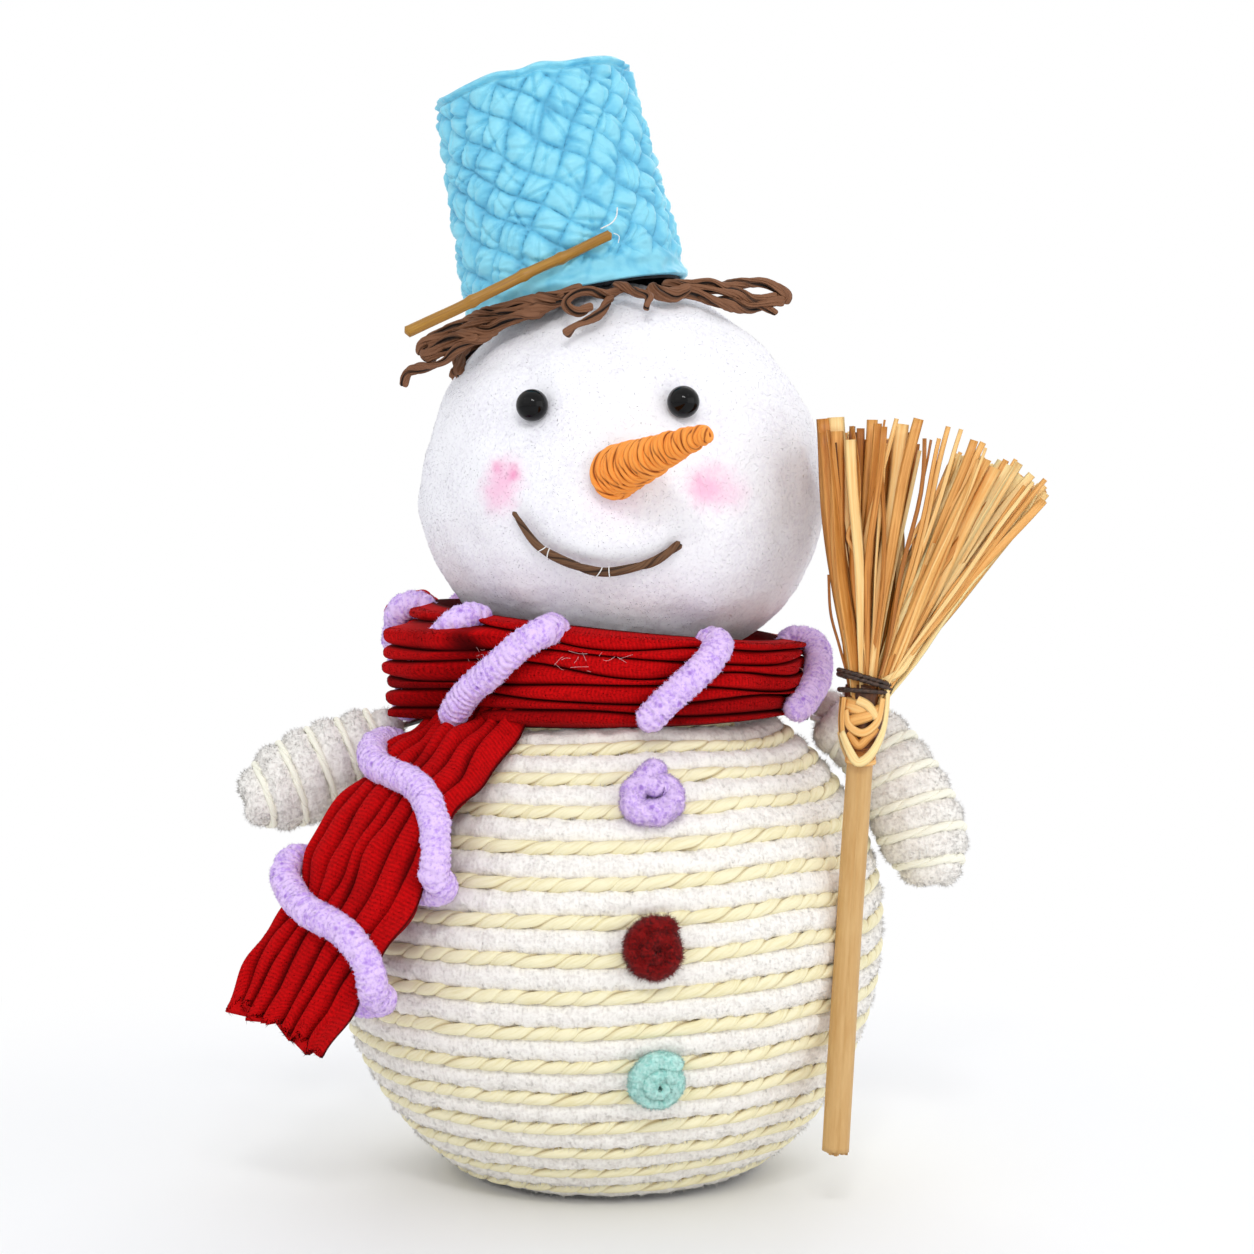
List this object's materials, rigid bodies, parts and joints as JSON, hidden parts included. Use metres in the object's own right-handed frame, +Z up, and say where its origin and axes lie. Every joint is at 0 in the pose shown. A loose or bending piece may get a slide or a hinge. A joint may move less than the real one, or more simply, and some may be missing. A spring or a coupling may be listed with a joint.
{
  "type": "fabric snowman doll",
  "caption": "Standing snowman doll: body wound in plush stem and paper cord, fleece head with cord nose, bucket hat, ribbed scarf, wired arms and a straw broom.",
  "frame": {"origin": "centre of the underside of the board disc under the body, on the body's axis", "axes": "+Z up, -Y the way the face looks, +X the doll's own left, where the broom is; right and left in names are the doll's own"},
  "size_m": [0.2277, 0.1739, 0.3292],
  "materials": {
    "foam_white": "expanded foam, fine beaded surface",
    "foam_orange": "dyed foam, hidden under the nose cord",
    "board_brown": "grey-brown board, matt",
    "plush_white": "short soft pile on a stem, faintly pink in places",
    "plush_lilac": "short soft pile on a stem, mottled",
    "plush_red": "short soft pile",
    "plush_mint": "short soft pile",
    "paper_cord_cream": "twisted two-ply paper cord, slight gloss",
    "wood_beech": "plain turned dowel",
    "wood_twig": "smooth dry twig",
    "wood_handle": "fine straight grain, satin",
    "fleece_white": "deep curly fleece",
    "bead_black": "polished bead",
    "cord_brown": "fine twisted cord",
    "cord_orange": "twisted cord, dyed",
    "cord_dark": "waxed cord",
    "satin_blue": "quilted satin, soft gloss",
    "lining_black": "plain weave",
    "yarn_hair": "loose twisted fibres",
    "velvet_red": "ribbed velvet",
    "straw_gold": "dry straw, slight gloss",
    "wire_steel": "plain drawn wire"
  },
  "bodies": {
    "body": {"body_core": "foam_white", "foot_disc": "board_brown", "body_plush_winding": "plush_white", "body_paper_cord": "paper_cord_cream", "neck_dowel": "wood_beech", "scarf_collar_cord_1": "velvet_red", "scarf_collar_cord_2": "velvet_red", "scarf_collar_cord_3": "velvet_red", "scarf_collar_cord_4": "velvet_red", "scarf_collar_cord_5": "velvet_red", "scarf_collar_cord_6": "velvet_red", "scarf_collar_tie_1": "plush_lilac", "scarf_collar_tie_2": "plush_lilac", "scarf_collar_tie_3": "plush_lilac", "scarf_collar_tie_4": "plush_lilac", "scarf_collar_tie_5": "plush_lilac", "scarf_collar_tie_6": "plush_lilac", "scarf_collar_tie_7": "plush_lilac", "scarf_collar_tie_8": "plush_lilac", "right_shoulder_wire": "wire_steel", "left_shoulder_wire": "wire_steel", "lilac_button": "plush_lilac", "red_button": "plush_red", "mint_button": "plush_mint", "broom_handle": "wood_handle", "broom_knot": "straw_gold", "broom_straw": "straw_gold", "broom_tie": "cord_dark"},
    "head": {"head_core": "foam_white", "head_cover": "fleece_white", "right_eye": "bead_black", "left_eye": "bead_black", "mouth_cord": "cord_brown", "nose_winding": "cord_orange", "nose_core": "foam_orange", "hat_wall": "satin_blue", "hat_crown": "satin_blue", "hat_lining": "lining_black", "hat_twig": "wood_twig", "hair_right_upper": "yarn_hair", "hair_right_lower": "yarn_hair", "hair_fringe_right": "yarn_hair", "hair_fringe_left": "yarn_hair", "hair_left_upper": "yarn_hair", "hair_left_lower": "yarn_hair"},
    "right_arm": {"right_arm_core": "foam_white", "right_arm_plush_winding": "plush_white", "right_arm_paper_cord": "paper_cord_cream"},
    "left_arm": {"left_arm_core": "foam_white", "left_arm_plush_winding": "plush_white", "left_arm_paper_cord": "paper_cord_cream"},
    "scarf_tail": {"scarf_tail_cord_1": "velvet_red", "scarf_tail_cord_2": "velvet_red", "scarf_tail_cord_3": "velvet_red", "scarf_tail_cord_4": "velvet_red", "scarf_tail_cord_5": "velvet_red", "scarf_tail_cord_6": "velvet_red", "scarf_tail_cord_7": "velvet_red", "scarf_tail_tie": "plush_lilac"}
  },
  "joints": [
    {"name": "head_turn", "type": "hinge", "parent": "body", "child": "head", "pos_m": [0.0048, 0, 0.15], "axis": [0, 0, 1], "range_deg": [-20, 20]},
    {"name": "right_arm_raise", "type": "hinge", "parent": "body", "child": "right_arm", "pos_m": [-0.0605, -0.009, 0.133], "axis": [0, 1, 0], "range_deg": [-5, 25]},
    {"name": "left_arm_raise", "type": "hinge", "parent": "body", "child": "left_arm", "pos_m": [0.0605, -0.001, 0.1348], "axis": [0, -1, 0], "range_deg": [-5, 25]},
    {"name": "scarf_end_lift", "type": "hinge", "parent": "body", "child": "scarf_tail", "pos_m": [-0.04, -0.042, 0.1335], "axis": [-0.7219, 0.6919, 0], "range_deg": [0, 22]}
  ]
}
